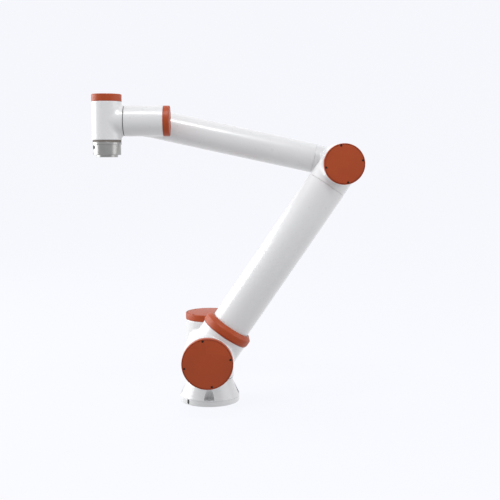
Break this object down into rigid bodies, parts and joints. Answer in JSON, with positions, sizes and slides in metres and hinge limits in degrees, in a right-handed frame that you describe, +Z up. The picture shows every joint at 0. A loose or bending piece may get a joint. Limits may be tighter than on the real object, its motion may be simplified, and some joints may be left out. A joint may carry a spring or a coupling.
{
  "type": "collaborative robot arm",
  "caption": "White articulated robot arm with orange joint caps, a flared round foot, two tubular links and a grey tool flange.",
  "frame": {"origin": "centre of the foot's flat underside, on the base joint's axis", "axes": "+Z up along the base joint; -Y the side that the shoulder reaches out to; at rest both arm links lie parallel to the XZ plane, with the elbow towards +X"},
  "size_m": [0.7907, 0.3456, 0.9524],
  "materials": {
    "white_shell": "gloss",
    "orange_lid": "satin",
    "grey_metal": "satin",
    "steel": "satin",
    "copper": "satin",
    "dark_plastic": "matte",
    "board_green": "matte"
  },
  "bodies": {
    "base": {"base_foot": "white_shell", "base_connector": "dark_plastic", "base_plug": "dark_plastic", "base_output_flange": "steel"},
    "shoulder": {"base_housing": "white_shell", "base_cap": "orange_lid", "base_gear_ring": "steel", "base_stator": "copper", "base_brake": "grey_metal", "base_drive_board": "board_green", "shoulder_output_flange": "steel"},
    "upper_arm": {"upper_arm_collar": "orange_lid", "upper_arm_tube": "white_shell", "shoulder_housing": "white_shell", "shoulder_cap": "orange_lid", "shoulder_gear_ring": "steel", "shoulder_stator": "copper", "shoulder_brake": "grey_metal", "shoulder_drive_board": "board_green", "elbow_housing": "white_shell", "elbow_cap": "orange_lid", "elbow_gear_ring": "steel", "elbow_stator": "copper", "elbow_brake": "grey_metal", "elbow_drive_board": "board_green"},
    "forearm": {"elbow_casting": "white_shell", "elbow_back_cover": "white_shell", "forearm_tube": "white_shell", "elbow_output_flange": "steel", "wrist_1_housing": "white_shell", "wrist_1_cap": "orange_lid", "wrist_1_gear_ring": "steel", "wrist_1_stator": "copper", "wrist_1_brake": "grey_metal", "wrist_1_drive_board": "board_green"},
    "wrist_1": {"wrist_1_output_flange": "steel", "wrist_2_housing": "white_shell", "wrist_2_cap": "orange_lid", "wrist_2_gear_ring": "steel", "wrist_2_stator": "copper", "wrist_2_brake": "grey_metal", "wrist_2_drive_board": "board_green"},
    "wrist_2": {"wrist_2_output_flange": "steel", "wrist_3_housing": "white_shell", "wrist_3_cap": "orange_lid", "wrist_3_gear_ring": "steel", "wrist_3_stator": "copper", "wrist_3_brake": "grey_metal", "wrist_3_drive_board": "board_green"},
    "tool": {"tool_flange": "grey_metal", "tool_connector": "dark_plastic", "wrist_3_output_flange": "steel"},
    "base_motor": {"base_rotor": "steel"},
    "shoulder_motor": {"shoulder_rotor": "steel"},
    "elbow_motor": {"elbow_rotor": "steel"},
    "wrist_1_motor": {"wrist_1_rotor": "steel"},
    "wrist_2_motor": {"wrist_2_rotor": "steel"},
    "wrist_3_motor": {"wrist_3_rotor": "steel"}
  },
  "joints": [
    {"name": "base_joint", "type": "hinge", "parent": "base", "child": "shoulder", "pos_m": [0, 0, 0.172], "axis": [0, 0, 1], "range_deg": [-175, 175]},
    {"name": "shoulder_joint", "type": "hinge", "parent": "shoulder", "child": "upper_arm", "pos_m": [0, -0.158, 0.172], "axis": [0, -1, 0], "range_deg": [-100, 169]},
    {"name": "elbow_joint", "type": "hinge", "parent": "upper_arm", "child": "forearm", "pos_m": [0.39396, -0.158, 0.75061], "axis": [0, -1, 0], "range_deg": [-262, 37]},
    {"name": "wrist_1_joint", "type": "hinge", "parent": "forearm", "child": "wrist_1", "pos_m": [-0.18478, -0.04, 0.87521], "axis": [0, -1, 0], "range_deg": [-175, 175]},
    {"name": "wrist_2_joint", "type": "hinge", "parent": "wrist_1", "child": "wrist_2", "pos_m": [-0.18478, -0.149, 0.87521], "axis": [1, 0, 0], "range_deg": [-175, 175]},
    {"name": "wrist_3_joint", "type": "hinge", "parent": "wrist_2", "child": "tool", "pos_m": [-0.29378, -0.149, 0.87521], "axis": [0, 0, 1], "range_deg": [-175, 175]},
    {"name": "base_motor_spin", "type": "hinge", "parent": "shoulder", "child": "base_motor", "pos_m": [0, 0, 0.172], "axis": [0, 0, 1], "continuous": true},
    {"name": "shoulder_motor_spin", "type": "hinge", "parent": "upper_arm", "child": "shoulder_motor", "pos_m": [0, -0.158, 0.172], "axis": [0, -1, 0], "continuous": true},
    {"name": "elbow_motor_spin", "type": "hinge", "parent": "upper_arm", "child": "elbow_motor", "pos_m": [0.39396, -0.158, 0.75061], "axis": [0, -1, 0], "continuous": true},
    {"name": "wrist_1_motor_spin", "type": "hinge", "parent": "forearm", "child": "wrist_1_motor", "pos_m": [-0.18478, -0.04, 0.87521], "axis": [0, -1, 0], "continuous": true},
    {"name": "wrist_2_motor_spin", "type": "hinge", "parent": "wrist_1", "child": "wrist_2_motor", "pos_m": [-0.18478, -0.149, 0.87521], "axis": [1, 0, 0], "continuous": true},
    {"name": "wrist_3_motor_spin", "type": "hinge", "parent": "wrist_2", "child": "wrist_3_motor", "pos_m": [-0.29378, -0.149, 0.87521], "axis": [0, 0, 1], "continuous": true}
  ],
  "couplings": [
    {"joint": "base_motor_spin", "follows": "base_joint", "ratio": 100},
    {"joint": "shoulder_motor_spin", "follows": "shoulder_joint", "ratio": 100},
    {"joint": "elbow_motor_spin", "follows": "elbow_joint", "ratio": -100},
    {"joint": "wrist_1_motor_spin", "follows": "wrist_1_joint", "ratio": -100},
    {"joint": "wrist_2_motor_spin", "follows": "wrist_2_joint", "ratio": -100},
    {"joint": "wrist_3_motor_spin", "follows": "wrist_3_joint", "ratio": -100}
  ]
}
